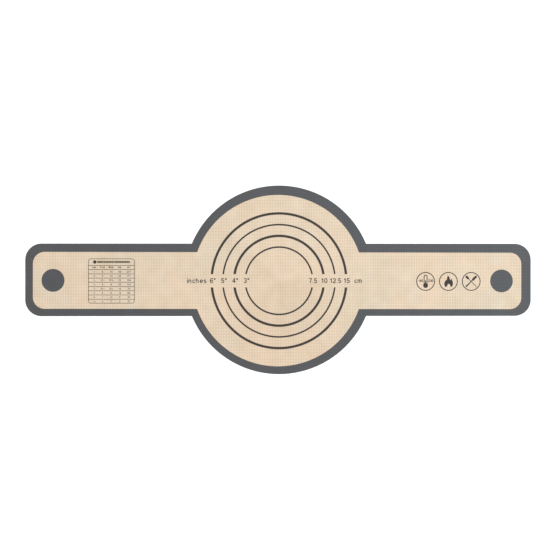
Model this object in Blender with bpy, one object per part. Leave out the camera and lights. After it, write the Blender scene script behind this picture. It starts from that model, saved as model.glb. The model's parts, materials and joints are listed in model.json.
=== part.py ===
"""Silicone bread sling, laid out flat: a round bed for the dough and two long handles, cut from one coated sheet.

The sheet is woven glass cloth between two coats of silicone. A channel of grey silicone wraps its cut edge, and the
scale's rings, the measure table and the badges are ink laid flush into the top coat. The real sheet bends anywhere.
Here it is five flat panels that meet face to face at four fold lines, where it bends in use: the handles lift at the
bed's edge, and their ends turn outwards over the rim of a pot.

Metres, +Z up. The origin is the middle of the bed, on the underside.
"""

import collections
import math

import bmesh
import bpy
from mathutils import Matrix, Vector

# Plan of the sheet
BED_DIAMETER = 0.210
HANDLE_LENGTH = 0.1765
HANDLE_WIDTH = 0.0805
CORNER_RADIUS = 0.018

# Grey border, from the cut edge to the beige field
BED_BORDER = 0.0096
SIDE_BORDER = 0.0087
END_BORDER = 0.0095
FIELD_CORNER_RADIUS = 0.013
SEAL_MARGIN = 0.0015

# Layers, from the underside up
UNDER_COAT = 0.00025
CLOTH = 0.0002
TOP_COAT = 0.0003
INK_DEPTH = 0.0001

# Thumb dots, one near the end of each handle
DOT_DIAMETER = 0.0254
DOT_SETBACK = 0.03175
DOT_TO_FOLD = 0.00755

# Rings of the scale, each for a loaf of that diameter; every second one is bold
SMALLEST_RING_DIAMETER = 0.075
RING_DIAMETER_STEP = 0.025
BOLD_RING_LINE = 0.0027
FINE_RING_LINE = 0.00175
RING_BREAK = 0.0148
NUMBER_MARGIN = 0.0125

# Measure table on the left handle
TABLE_LENGTH = 0.0516
TABLE_SIDE_MARGIN = 0.0066
TABLE_TO_FOLD = 0.0181
TABLE_TITLE = 0.0077
TABLE_ROWS = 9
TABLE_LINE = 0.00055
TABLE_CORNER_RADIUS = 0.0033

# Badges on the right handle
BADGES = 3
BADGE_DIAMETER = 0.0209
BADGE_GAP = 0.00465
BADGE_LINE = 0.0009
BADGE_TO_FOLD = 0.0043
BADGE_DROP = 0.00075

# Fineness of the round edges, and how far a cutter stands out of what it cuts
DISC_STEPS = 34
CORNER_STEPS = 6
RING_STEPS = 28
CIRCLE_STEPS = 32
TABLE_CORNER_STEPS = 3
CUTTER_RISE = 0.0005
SHARP_ANGLE = math.radians(40)

# Places that follow from the sizes above
BED_RADIUS = BED_DIAMETER / 2
HANDLE_END = BED_RADIUS + HANDLE_LENGTH
LIFT_FOLD = BED_RADIUS
RIM_FOLD = HANDLE_END - DOT_SETBACK - DOT_DIAMETER / 2 - DOT_TO_FOLD
CLOTH_TOP = UNDER_COAT + CLOTH
THICKNESS = CLOTH_TOP + TOP_COAT
INK_FLOOR = THICKNESS - INK_DEPTH

# A line that runs all round the sheet: how far inside the cut edge it lies, and how it turns the handles' corners
Line = collections.namedtuple("Line", "bed_inset side_inset end_inset corner_radius")
CUT_EDGE = Line(0, 0, 0, CORNER_RADIUS)
CLOTH_EDGE = Line(SEAL_MARGIN, SEAL_MARGIN, SEAL_MARGIN, CORNER_RADIUS - SEAL_MARGIN)
FIELD_EDGE = Line(BED_BORDER, SIDE_BORDER, END_BORDER, FIELD_CORNER_RADIUS)

Finishes = collections.namedtuple("Finishes", "beige grey ink cloth")


def clear_scene():
    for obj in list(bpy.data.objects):
        bpy.data.objects.remove(obj)


def finish(name, colour, roughness):
    """A plain material; colour is linear red, green and blue."""
    material = bpy.data.materials.new(name)
    material.use_nodes = True
    shader = material.node_tree.nodes["Principled BSDF"]
    shader.inputs["Base Color"].default_value = (*colour, 1)
    shader.inputs["Roughness"].default_value = roughness
    shader.inputs["Metallic"].default_value = 0
    return material


def make_finishes():
    return Finishes(
        beige=finish("beige_silicone", (0.76, 0.62, 0.47), 0.6),
        grey=finish("grey_silicone", (0.108, 0.11, 0.117), 0.6),
        ink=finish("dark_ink", (0.065, 0.06, 0.055), 0.7),
        cloth=finish("glass_cloth", (0.8, 0.79, 0.74), 0.85),
    )


class Panel:
    """A flat part of the sheet that moves as one. Its pieces hang from an empty on the fold that turns it."""

    def __init__(self, name, origin, carrier=None):
        self.name = name
        self.origin = Vector(origin)
        self.empty = bpy.data.objects.new(f"{name}_origin", None)
        bpy.context.scene.collection.objects.link(self.empty)
        self.empty.location = self.origin
        if carrier:
            self.empty.location -= carrier.origin
            self.empty.parent = carrier.empty

    def add(self, name, shape, material=None):
        """Puts a shape, drawn where it lies on the sheet, into this panel as a named object."""
        mesh = bpy.data.meshes.new(name)
        shape.transform(Matrix.Translation(-self.origin))
        shape.to_mesh(mesh)
        shape.free()
        if material:
            mesh.materials.append(material)
        mesh.shade_smooth()
        mesh.set_sharp_from_angle(angle=SHARP_ANGLE)
        obj = bpy.data.objects.new(name, mesh)
        bpy.context.scene.collection.objects.link(obj)
        obj.parent = self.empty
        return obj


def arc(centre, radius, start, end, steps):
    """Points along an arc, with both of its ends."""
    angles = (start + (end - start) * i / steps for i in range(steps + 1))
    return [(centre[0] + radius * math.cos(a), centre[1] + radius * math.sin(a)) for a in angles]


def circle(centre, radius):
    return arc(centre, radius, 0, math.tau, CIRCLE_STEPS)[:-1]


def rectangle(low, high, top_radius=0, bottom_radius=0):
    """A closed loop between two corners, with its top pair and its bottom pair of corners square or round."""
    corners = (
        (high[0] - top_radius, high[1] - top_radius, top_radius, 0),
        (low[0] + top_radius, high[1] - top_radius, top_radius, math.pi / 2),
        (low[0] + bottom_radius, low[1] + bottom_radius, bottom_radius, math.pi),
        (high[0] - bottom_radius, low[1] + bottom_radius, bottom_radius, math.pi * 3 / 2),
    )
    points = []
    for x, y, radius, start in corners:
        points += arc((x, y), radius, start, start + math.pi / 2, TABLE_CORNER_STEPS) if radius else [(x, y)]
    return points


def mirrored(points, side):
    """Points drawn for the right handle, carried to the left one where side is -1."""
    return [(x * side, y) for x, y in points]


def to_front(points):
    """The rear half of a line carried to the front half."""
    return [(x, -y) for x, y in points]


def joined(rear):
    """A closed loop: a rear run and its mirror image in front."""
    return rear + to_front(rear)[::-1]


def bed_run(line):
    """Rear of the bed: along the right handle, round the disc with a sharp inner corner each way, and on."""
    radius = BED_RADIUS - line.bed_inset
    y = HANDLE_WIDTH / 2 - line.side_inset
    corner = math.asin(y / radius)
    disc = arc((0, 0), radius, corner, math.pi - corner, DISC_STEPS)
    return [(LIFT_FOLD, y), *disc, (-LIFT_FOLD, y)]


def riser_run(line):
    """Rear of the stretch of handle that stands up inside the pot."""
    y = HANDLE_WIDTH / 2 - line.side_inset
    return [(LIFT_FOLD, y), (RIM_FOLD, y)]


def grip_run(line):
    """Right round the end of a handle, from the rear of its fold to the front."""
    x = HANDLE_END - line.end_inset
    y = HANDLE_WIDTH / 2 - line.side_inset
    centre = (x - line.corner_radius, y - line.corner_radius)
    return joined([(RIM_FOLD, y), *arc(centre, line.corner_radius, math.pi / 2, 0, CORNER_STEPS)])


def plate(loops, low, high):
    """A flat plate between two heights: the outer loop less any loops inside it."""
    shape = bmesh.new()
    edges = []
    for loop in loops:
        corners = [shape.verts.new((x, y, low)) for x, y in loop]
        edges += [shape.edges.new(pair) for pair in zip(corners, corners[1:] + corners[:1])]
    bmesh.ops.triangle_fill(shape, edges=edges, use_beauty=True, normal=(0, 0, 1))
    raised = bmesh.ops.extrude_face_region(shape, geom=shape.faces[:])["geom"]
    for item in raised:
        if isinstance(item, bmesh.types.BMVert):
            item.co.z = high
    bmesh.ops.recalc_face_normals(shape, faces=shape.faces[:])
    return shape


def edge_channel(cut_run, cloth_run, field_run):
    """The grey edge: a channel section carried along three runs that keep step, with the cloth's edge in its slot."""
    shape = bmesh.new()
    sections = []
    for (cut_x, cut_y), (slot_x, slot_y), (lip_x, lip_y) in zip(cut_run, cloth_run, field_run):
        section = (
            (cut_x, cut_y, 0),
            (cut_x, cut_y, THICKNESS),
            (lip_x, lip_y, THICKNESS),
            (lip_x, lip_y, CLOTH_TOP),
            (slot_x, slot_y, CLOTH_TOP),
            (slot_x, slot_y, UNDER_COAT),
            (lip_x, lip_y, UNDER_COAT),
            (lip_x, lip_y, 0),
        )
        sections.append([shape.verts.new(point) for point in section])
    for here, there in zip(sections, sections[1:]):
        for i in range(len(here)):
            shape.faces.new((here[i], here[i - 1], there[i - 1], there[i]))
    shape.faces.new(sections[0])
    shape.faces.new(sections[-1])
    bmesh.ops.recalc_face_normals(shape, faces=shape.faces[:])
    return shape


def inlay(panel, coat, name, loops, material):
    """Ink that fills a groove of its own outline, flush with the top coat."""
    panel.add(name, plate(loops, INK_FLOOR, THICKNESS), material)
    cutter = panel.add(f"{name}_cutter", plate(loops, INK_FLOOR, THICKNESS + CUTTER_RISE))
    cutter.hide_render = True
    cutter.display_type = "WIRE"
    groove = coat.modifiers.new(f"{name}_groove", "BOOLEAN")
    groove.operation = "DIFFERENCE"
    groove.solver = "EXACT"
    groove.object = cutter


def add_layers(panel, cloth_loop, field_loop, finishes, hole=None):
    """Under coat, glass cloth and top coat of one panel, each resting on the one before. Returns the top coat."""
    panel.add(f"{panel.name}_under_coat", plate([field_loop], 0, UNDER_COAT), finishes.beige)
    panel.add(f"{panel.name}_glass_cloth", plate([cloth_loop], UNDER_COAT, CLOTH_TOP), finishes.cloth)
    loops = [field_loop, hole] if hole else [field_loop]
    return panel.add(f"{panel.name}_top_coat", plate(loops, CLOTH_TOP, THICKNESS), finishes.beige)


def add_long_edges(panel, run, side, finishes):
    """The rear and front edge channels of a panel whose ends are both folds."""
    runs = [mirrored(run(line), side) for line in (CUT_EDGE, CLOTH_EDGE, FIELD_EDGE)]
    panel.add(f"{panel.name}_edge_rear", edge_channel(*runs), finishes.grey)
    panel.add(f"{panel.name}_edge_front", edge_channel(*map(to_front, runs)), finishes.grey)


def ring_half(diameter, line):
    """Rear half of a ring, whose ends are cut level to leave room for the scale's numbers."""
    rims = []
    for radius in (diameter / 2 + line / 2, diameter / 2 - line / 2):
        rise = math.asin(RING_BREAK / 2 / radius)
        rims.append(arc((0, 0), radius, rise, math.pi - rise, RING_STEPS))
    return rims[0] + rims[1][::-1]


def add_rings(bed, coat, finishes):
    """Every ring of the scale that leaves room for its numbers inside the field, counted from the smallest."""
    largest = (BED_RADIUS - BED_BORDER - NUMBER_MARGIN) * 2
    rings = math.floor((largest - SMALLEST_RING_DIAMETER) / RING_DIAMETER_STEP) + 1
    for ring in range(rings):
        line = BOLD_RING_LINE if ring % 2 else FINE_RING_LINE
        rear = ring_half(SMALLEST_RING_DIAMETER + ring * RING_DIAMETER_STEP, line)
        inlay(bed, coat, f"ring_{ring + 1}_rear", [rear], finishes.ink)
        inlay(bed, coat, f"ring_{ring + 1}_front", [to_front(rear)], finishes.ink)


def table_loops():
    """The measure table: a round-cornered frame, whose windows are the title and the rows between its rules."""
    left = -(RIM_FOLD - TABLE_TO_FOLD)
    right = left + TABLE_LENGTH
    half = HANDLE_WIDTH / 2 - SIDE_BORDER - TABLE_SIDE_MARGIN
    pitch = (half * 2 - TABLE_TITLE) / TABLE_ROWS
    rules = [half, *(half - TABLE_TITLE - pitch * row for row in range(TABLE_ROWS)), -half]
    loops = [rectangle((left, -half), (right, half), TABLE_CORNER_RADIUS, TABLE_CORNER_RADIUS)]
    for top, bottom in zip(rules, rules[1:]):
        at_top = top == rules[0]
        at_bottom = bottom == rules[-1]
        roof = TABLE_LINE if at_top else TABLE_LINE / 2
        sill = TABLE_LINE if at_bottom else TABLE_LINE / 2
        rounds = [TABLE_CORNER_RADIUS - TABLE_LINE if at_end else 0 for at_end in (at_top, at_bottom)]
        loops.append(rectangle((left + TABLE_LINE, bottom + sill), (right - TABLE_LINE, top - roof), *rounds))
    return loops


def add_badges(riser, coat, finishes):
    """Thin rings in a row, counted from the rim fold towards the bed."""
    radius = BADGE_DIAMETER / 2
    for badge in range(BADGES):
        x = RIM_FOLD - BADGE_TO_FOLD - radius - badge * (BADGE_DIAMETER + BADGE_GAP)
        centre = (x, -BADGE_DROP)
        loops = [circle(centre, radius), circle(centre, radius - BADGE_LINE)]
        inlay(riser, coat, f"badge_ring_{badge + 1}", loops, finishes.ink)


def add_bed(finishes):
    bed = Panel("bed", (0, 0, 0))
    coat = add_layers(bed, joined(bed_run(CLOTH_EDGE)), joined(bed_run(FIELD_EDGE)), finishes)
    add_long_edges(bed, bed_run, 1, finishes)
    add_rings(bed, coat, finishes)
    return bed


def add_riser(name, side, bed, finishes):
    """The stretch of handle from the bed's edge to the pot's rim. Its fold turns about the top face, so it lifts."""
    riser = Panel(name, (LIFT_FOLD * side, 0, THICKNESS), bed)
    cloth_loop, field_loop = (mirrored(joined(riser_run(line)), side) for line in (CLOTH_EDGE, FIELD_EDGE))
    coat = add_layers(riser, cloth_loop, field_loop, finishes)
    add_long_edges(riser, riser_run, side, finishes)
    return riser, coat


def add_grip(name, side, riser, finishes):
    """The end of a handle. Its fold turns about the under face, so it turns outwards over the rim."""
    grip = Panel(name, (RIM_FOLD * side, 0, 0), riser)
    cut_run, cloth_run, field_run = (mirrored(grip_run(line), side) for line in (CUT_EDGE, CLOTH_EDGE, FIELD_EDGE))
    dot = circle(((HANDLE_END - DOT_SETBACK) * side, 0), DOT_DIAMETER / 2)
    add_layers(grip, cloth_run, field_run, finishes, hole=dot)
    grip.add(f"{name}_edge", edge_channel(cut_run, cloth_run, field_run), finishes.grey)
    grip.add(f"{name}_thumb_dot", plate([dot], CLOTH_TOP, THICKNESS), finishes.grey)


def main():
    clear_scene()
    finishes = make_finishes()
    bed = add_bed(finishes)
    left_riser, left_coat = add_riser("left_riser", -1, bed, finishes)
    inlay(left_riser, left_coat, "measure_table", table_loops(), finishes.ink)
    right_riser, right_coat = add_riser("right_riser", 1, bed, finishes)
    add_badges(right_riser, right_coat, finishes)
    add_grip("left_grip", -1, left_riser, finishes)
    add_grip("right_grip", 1, right_riser, finishes)


main()
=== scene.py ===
"""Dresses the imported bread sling: woven beige silicone, a grey border, printed marks, and a plain studio.

Every piece is a closed skin of thin silicone or ink, worked out where it lies on the flat sheet. Metres,
+Z up, in the frame's own coordinates: the origin is the middle of the bed, on the underside, and +X runs
towards the badges.
"""

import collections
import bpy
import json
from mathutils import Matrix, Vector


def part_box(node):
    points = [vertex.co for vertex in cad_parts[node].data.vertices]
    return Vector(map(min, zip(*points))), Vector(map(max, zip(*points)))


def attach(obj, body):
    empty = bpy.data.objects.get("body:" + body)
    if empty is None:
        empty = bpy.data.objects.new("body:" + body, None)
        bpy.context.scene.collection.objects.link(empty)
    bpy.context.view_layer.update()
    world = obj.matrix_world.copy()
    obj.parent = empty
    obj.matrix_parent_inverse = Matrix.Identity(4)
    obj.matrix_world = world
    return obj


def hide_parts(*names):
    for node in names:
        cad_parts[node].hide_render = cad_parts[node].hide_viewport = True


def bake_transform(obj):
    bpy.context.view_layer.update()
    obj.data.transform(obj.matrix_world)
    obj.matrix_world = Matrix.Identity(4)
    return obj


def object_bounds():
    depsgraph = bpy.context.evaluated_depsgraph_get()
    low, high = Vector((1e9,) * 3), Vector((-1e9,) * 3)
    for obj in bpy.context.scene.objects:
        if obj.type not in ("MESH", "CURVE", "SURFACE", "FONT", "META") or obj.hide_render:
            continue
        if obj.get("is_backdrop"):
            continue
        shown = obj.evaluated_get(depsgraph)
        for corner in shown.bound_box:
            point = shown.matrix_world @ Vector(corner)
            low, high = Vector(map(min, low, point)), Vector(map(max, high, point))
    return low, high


bl_info = {
    "name": "Silicone Bread Sling",
    "version": (1, 0, 0),
    "blender": (4, 5, 0),
    "location": "3D View > Sidebar > Bread Sling",
    "description": "Woven silicone, border, prints and studio for a flat two-handled bread sling",
    "category": "Mesh",
}

import fractions
import json
import math

import bpy
import numpy as np
from bpy.props import FloatProperty, FloatVectorProperty, PointerProperty
from mathutils import Vector

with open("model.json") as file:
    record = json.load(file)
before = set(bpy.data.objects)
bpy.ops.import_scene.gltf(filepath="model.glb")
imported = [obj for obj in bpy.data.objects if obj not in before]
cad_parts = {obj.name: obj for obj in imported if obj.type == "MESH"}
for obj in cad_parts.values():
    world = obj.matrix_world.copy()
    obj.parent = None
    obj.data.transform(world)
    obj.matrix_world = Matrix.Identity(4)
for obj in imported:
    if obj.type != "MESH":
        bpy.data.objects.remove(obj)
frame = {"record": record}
cad_low, cad_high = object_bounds()

# Outline of the sheet, read from the frame
THICKNESS = cad_high.z
BED_RADIUS = cad_high.y
HANDLE_END = cad_high.x
HANDLE_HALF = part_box("right_grip_edge")[1].y
LIFT_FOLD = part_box("right_riser_edge_rear")[0].x
RIM_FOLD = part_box("right_grip_edge")[0].x
FIELD_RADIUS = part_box("bed_top_coat")[1].y
FIELD_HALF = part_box("right_grip_top_coat")[1].y
FIELD_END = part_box("right_grip_top_coat")[1].x

# A line that runs all round the sheet: the bed's radius, and the handles' half width, end and corner radius
Outline = collections.namedtuple("Outline", "radius half end corner")

# A stretch of the sheet that is one piece of field and one of border: its body and the body that carries it,
# the side of the sheet that it is on, how far from the middle it starts, ends and folds, and its runs of an
# outline. The bed has no carrier and no fold, and lies on both sides.
Panel = collections.namedtuple("Panel", "body carrier side near far fold runs")

# A label: its text, its middle, the height of its digits, and the spacing of its letters, where 1 is usual
Label = collections.namedtuple("Label", "text x y height spacing")

# The measure table: its middle, half its size, and the heights of its rules, from the top one down
Table = collections.namedtuple("Table", "centre half rules")

# A soft square lamp: its name, its place, the length of its side, and its colour
Lamp = collections.namedtuple("Lamp", "name place side colour")

COATS = ("under_coat", "glass_cloth", "top_coat")  # the layers of a panel, which its field replaces
CUT_PLACE = "place_on_cut"  # the attribute that holds each point's place on the flat sheet
SHARP_ANGLE = math.radians(40)  # edges that turn by more than this stay sharp
SHIFT_EASE = 0.0075  # length over which the field's shift along the sheet eases in

# Fineness of the meshes
SAMPLES = 4  # columns and rows to one yarn of the weave
RIM_STEPS = 8  # steps round the cut edge, from the underside to the printed face
BORDER_STEPS = 13  # steps across the border on each face
DISC_SHARE = 0.75  # about how much of the bed's half circle lies between two inner corners
DOT_COLUMNS = 48
BOW_POINTS = 17
STROKE_POINTS = 4
COLUMN_POINTS = 9
DROP_POINTS = 40
TOOL_POINTS = 60
TICK_POINTS = 6

# Films of ink
LAYER = 0.000004  # by which films that cross are kept apart
FILLED = 0.98  # line of a ring that is printed as a disc, as a share of the disc's radius

# Weave and silicone
THREADS = 4  # threads that show in one yarn
WARP_SHARE = 0.57  # how much of the weave's shade the furrows along y have; those along x have the rest
YARN_WANDER = 0.0005
WANDER_SCALE = 40
SILICONE_IOR = 1.41
ROUGHNESS = 0.5
ROUGHNESS_SPREAD = 0.06
FURROW_ROUGHNESS = 0.08  # by which the furrows are rougher than the yarns
SHADES = {"beige_silicone": 0.38, "grey_silicone": 0.3}  # how strongly each is darkened in its furrows: partly its glass yarns showing through, partly painted shade of the weave's relief
SHADE_SPREAD = 0.6  # how far that strength varies over the sheet, as a share of itself
SHADE_SCALE = 45
# tint of the furrows: partly the glass yarns showing through the silicone, partly painted shade of the
# weave's relief
FURROW_SHADE_TINT = (0.57, 0.5, 0.43)
THREAD_TINT = (0.5, 0.5, 0.5)
THREAD_SHADE = 0.2  # strength of the threads' shade, as a share of the furrows'
THREAD_RELIEF = 0.6  # depth between the threads, as a share of the pebbles'
WARM_PATCH_PLACE = (-0.004, -0.045, 0)  # middle of a patch about the lower middle of the bed that is a little warmer and darker
WARM_PATCH_REACH = 0.085
WARM_PATCH_TINT = (0.98, 0.93, 0.9)
MOTTLE = 0.8
MOTTLES = (  # features to a metre, levels of detail, and tint
    (14, 3, (0.74, 0.92, 1)),
    (32, 2, (1, 0.88, 0.72)),
    (75, 2, (0.78, 0.76, 0.72)),
)
PEBBLE_SCALE = 3000
PEBBLE_DEPTH = 0.00002
BUMP_STRENGTH = 0.5

# Ink
FRESH_INK = 1.15  # brightness of ink that is neither speckled nor darkened in the furrows, as a share of its colour's
# the ink in the furrows: darker than on the yarns, where it is a little worn, and partly painted shade of the
# weave's relief
INK_WEAR_AND_SHADE_TINT = (0.7, 0.7, 0.7)
SPECK_TINT = (0.75, 0.75, 0.75)
INK_MOTTLE = 0.6
SPECK_SCALE = 1800
SPECK_DEPTH = 0.00001
INK_ROUGHNESS = (0.6, 0.8)

# Lettering
STROKE = 0.165  # thickness of a letter's strokes, as a share of the height of a digit
BOLD_STROKE = 0.21  # the same for the table's headings and the thermometer's numbers
FRACTION_DIGIT = 0.6  # height of a fraction's digits, as a share of a whole number's
FRACTION_BAR = 0.8

# Ring scale
RING_INCH = 0.025  # what the trade counts as an inch of loaf
CENTIMETRE = 0.01
NUMBER_LINE = -0.0009  # place along y of the line of numbers
NUMBER_OFFSET = 0.0002  # how far outside its ring a number stands
NUMBER_SPACING = 0.94
INCH_MARK_OFFSET = 0.0032
INCH_MARK_SPACING = 0.8
INCHES_OFFSET = 0.0166  # from the largest ring to the middle of the unit's name
INCHES_SPACING = 1.04
CM_OFFSET = 0.0137

# Measure table
TABLE_TITLE = 0.0077
TABLE_CORNER = 0.0033
TABLE_COLUMNS = (0.13, 0.308, 0.495, 0.677, 0.87)  # middles of the columns, as shares of the table's length
TABLE_UNITS = ("cup", "fl oz", "tbsp", "tsp", "ml")
HEADING_RISE = 0.0005  # by which the headings stand above the middle of their row
HEADING_SPACING = 1.05
CUP_SHARES = [fractions.Fraction(*share) for share in (
    (1, 1), (3, 4), (2, 3), (1, 2), (1, 3), (1, 4), (1, 8), (1, 16))]
SPOONS_PER_CUP = (8, 16, 48)  # ounces, tablespoons and teaspoons
MILLILITRES_PER_CUP = 236.6
TITLE_DOT_RADIUS = 0.00195
TITLE_DOT_PLACE = 0.142  # as a share of the table's length
TITLE_RULERS = ((0.203, 0.29), (0.315, 0.545), (0.573, 0.838), (0.86, 0.885))  # their ends, as such shares
TICK_PITCH = 0.00118
TICK_LINE = 0.0009
TICK_HEIGHT = 0.0024

# Badges: sizes and places inside a ring, as shares of its radius
MOTIF_STEP = 1 / 24  # between two points of a motif's path
TUBE_HALF = np.array((0.17, 0.57))  # half its width and half its height
TUBE_CORNER = 0.168
TUBE_RISE = 0.12
BULB_RADIUS = 0.28
BULB_DROP = 0.46
COLUMN_WIDTH = 0.12
COLUMN_ENDS = (-0.4, 0.12)
DEGREES = (("-40", -0.57), ("230", 0.57))  # the thermometer's numbers, and how far to the right each stands
DEGREES_RISE = 0.08
DEGREES_HEIGHT = 0.28
DEGREES_SPACING = 0.92
FLAME_DROPS = (  # offset and height of the foot, height and width of the drop, and lean of its tip
    (-0.28, -0.62, 0.84, 0.64, 0.04),
    (0.33, -0.62, 0.94, 0.58, 0.02),
    (0.04, -0.3, 0.62, 1.05, 0),
    (0.03, -0.25, 0.95, 0.62, -0.08),
)
DROP_POWERS = (0.7, 1.1)  # how a drop's width grows from its foot, and how it narrows to its tip
DROP_TRIM = 0.001  # what is left off each end of a drop, as a share of its height
TOOL_REACH = 0.86  # half the length of the spatula and of the spoon

# Spatula and spoon: half widths as shares of the ring's radius, and lengths as shares of the tool's own
SPATULA_HANDLE = (0.08, 0.03)  # at its end and at the blade
SPATULA_BLADE = 0.09  # what the blade adds to the handle's
BLADE_START = 0.6
BLADE_SHOULDER = 0.06
BLADE_TIP = 0.04
SPOON_HANDLE = 0.035
SPOON_BOWL = 0.1  # what the bowl adds to the handle's
BOWL_HALF = 0.14  # half the bowl's length

# Studio
KEY_LAMP = Lamp("key_lamp", (-1.2, 1.4, 2.6), 1.6, (1, 1, 1))
SHEEN_LAMP = Lamp("sheen_lamp", (1.5, 0.35, 2.4), 1.2, (0.86, 0.95, 1))
WORKTOP_TINT = (0.98, 0.98, 0.98)
WORKTOP_CLOUDS = 3  # features to a metre of its faint clouds
WORKTOP_GRAIN = 40  # the same of its gloss
WORKTOP_ROUGHNESS = (0.7, 0.8)


class SheetSettings(bpy.types.PropertyGroup):
    warp_pitch: FloatProperty(
        name="Warp Pitch", description="Spacing along the sheet of the yarns that run across it",
        default=0.00287, min=0.001, unit="LENGTH", precision=5)
    weft_pitch: FloatProperty(
        name="Weft Pitch", description="Spacing across the sheet of the yarns that run along it",
        default=0.00346, min=0.001, unit="LENGTH", precision=5)
    relief: FloatProperty(
        name="Weave Relief", description="Depth of the pits where two furrows between yarns cross",
        default=0.00009, min=0, unit="LENGTH", precision=6)
    corner: FloatProperty(
        name="Corner Radius", description="Radius of the handles' corners at the cut edge",
        default=0.018, min=0.001, unit="LENGTH")
    field_corner: FloatProperty(
        name="Field Corner Radius", description="Radius of the handles' corners at the edge of the field",
        default=0.013, min=0.001, unit="LENGTH")
    field_shift: FloatVectorProperty(
        name="Field Shift", description="How far the field and the thumb dots lie off the middle of the cut",
        default=(-0.0011, -0.0009), size=2, unit="LENGTH", precision=5)
    field_turn: FloatProperty(
        name="Field Turn", description="How far the field and the thumb dots are turned against the cut",
        default=-0.0014, unit="ROTATION", precision=4)
    tuck: FloatProperty(
        name="Field Tuck", description="How far the field runs on under the border",
        default=0.003, min=0.001, unit="LENGTH")
    border_rise: FloatProperty(
        name="Border Rise", description="How far the border stands above the field",
        default=0.00003, min=0.00001, unit="LENGTH", precision=6)
    edge_round: FloatProperty(
        name="Edge Rounding", description="How far in from the cut edge its rounding reaches",
        default=0.00035, min=0.0001, unit="LENGTH", precision=5)
    sealed_margin: FloatProperty(
        name="Sealed Margin", description="Width of the smooth silicone outside the cloth's edge",
        default=0.0015, min=0.0005, unit="LENGTH", precision=5)
    fold_before: FloatProperty(
        name="Fold Start", description="How far before a fold line the sheet starts to bend",
        default=0.0025, min=0.001, unit="LENGTH")
    fold_after: FloatProperty(
        name="Fold End", description="How far past a fold line the sheet is straight again",
        default=0.0025, min=0.001, unit="LENGTH")
    beige: FloatVectorProperty(
        name="Beige", description="Colour of the field's silicone",
        default=(0.68, 0.529, 0.409), size=3, min=0, max=1, subtype="COLOR")
    grey: FloatVectorProperty(
        name="Grey", description="Colour of the border's silicone and of the thumb dots",
        default=(0.0615, 0.0602, 0.068), size=3, min=0, max=1, subtype="COLOR")


class PrintSettings(bpy.types.PropertyGroup):
    ink_rise: FloatProperty(
        name="Ink Rise", description="How far a film of ink stands above the field",
        default=0.000025, min=0.00001, unit="LENGTH", precision=6)
    ring_shift: FloatVectorProperty(
        name="Ring Shift", description="How far the rings and badges lie off their places on the cut",
        default=(-0.0001, -0.00105), size=2, unit="LENGTH", precision=5)
    table_shift: FloatVectorProperty(
        name="Table Shift", description="How far the measure table lies off its place on the cut",
        default=(-0.0006, -0.00125), size=2, unit="LENGTH", precision=5)
    bold_line: FloatProperty(
        name="Bold Ring Line", description="Line of every second ring",
        default=0.0027, min=0.0002, unit="LENGTH", precision=5)
    fine_line: FloatProperty(
        name="Fine Ring Line", description="Line of the rings between the bold ones",
        default=0.00182, min=0.0002, unit="LENGTH", precision=5)
    badge_line: FloatProperty(
        name="Badge Line", description="Line of the badges' rings",
        default=0.00098, min=0.0002, unit="LENGTH", precision=5)
    table_line: FloatProperty(
        name="Table Line", description="Line of the measure table's frame and rules",
        default=0.00055, min=0.0002, unit="LENGTH", precision=5)
    digit_height: FloatProperty(
        name="Digit Height", description="Height of the ring scale's digits",
        default=0.0053, min=0.001, unit="LENGTH", precision=5)
    table_digit_height: FloatProperty(
        name="Table Digit Height", description="Height of the measure table's digits",
        default=0.00205, min=0.0005, unit="LENGTH", precision=5)
    ink: FloatVectorProperty(
        name="Ink", description="Colour of the ink",
        default=(0.023, 0.017, 0.0125), size=3, min=0, max=1, subtype="COLOR")


class StudioSettings(bpy.types.PropertyGroup):
    view_width: FloatProperty(
        name="View Width", description="Width of the worktop that the camera sees",
        default=0.6134, min=0.1, unit="LENGTH")
    view_centre: FloatVectorProperty(
        name="View Centre", description="Point of the worktop in the middle of the view",
        default=(-0.00405, 0.00481), size=2, unit="LENGTH", precision=5)
    camera_height: FloatProperty(
        name="Camera Height", description="Height of the camera above the sheet",
        default=1.7, min=0.3, unit="LENGTH")
    camera_offset: FloatProperty(
        name="Camera Offset",
        description="How far the camera hangs to the left of the point that it looks at",
        default=0.046, unit="LENGTH")
    floor_size: FloatProperty(
        name="Floor Size", description="Side of the square worktop",
        default=8, min=1, unit="LENGTH")
    floor_colour: FloatVectorProperty(
        name="Floor Colour", description="Colour of the worktop",
        default=(0.84, 0.84, 0.84), size=3, min=0, max=1, subtype="COLOR")
    room_light: FloatProperty(
        name="Room Light", description="Strength of the even white light from all round",
        default=0.85, min=0)
    key_power: FloatProperty(
        name="Key Power", description="Power of the large soft lamp to the rear left",
        default=22, min=0, unit="POWER")
    sheen_power: FloatProperty(
        name="Sheen Power", description="Power of the soft lamp whose sheen shows towards the right end",
        default=60, min=0, unit="POWER")


# Shapes

def smooth_step(share):
    """Eases from 0 to 1: three times the square less twice the cube, held level outside that range."""
    held = np.clip(share, 0, 1)
    return held * held * (3 - 2 * held)


def sink(x, y, sheet):
    """How far the surface lies below the tops of the yarns: 0 where two yarns cross, and the whole relief in
    the pit where two furrows do. It is half the relief times the sum of a raised cosine along x and one
    along y, each 0 in the middle of a yarn and 1 midway between two."""
    across_warp = 0.5 - 0.5 * np.cos(math.tau * x / sheet.warp_pitch)
    across_weft = 0.5 - 0.5 * np.cos(math.tau * y / sheet.weft_pitch)
    return sheet.relief * (across_warp + across_weft) / 2


def field_top(x, y, sheet):
    """Height of the printed face: the sheet's thickness, less the border's rise and the weave's relief."""
    return THICKNESS - sheet.border_rise - sink(x, y, sheet)


def field_under(x, y, sheet):
    """Height of the underside of the field, which has the same weave."""
    return sheet.border_rise + sink(x, y, sheet)


def ink_floor(sheet):
    """Height of the hidden underside of the prints: twice the weave's relief below the tops of the yarns."""
    return THICKNESS - sheet.border_rise - sheet.relief * 2


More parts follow.
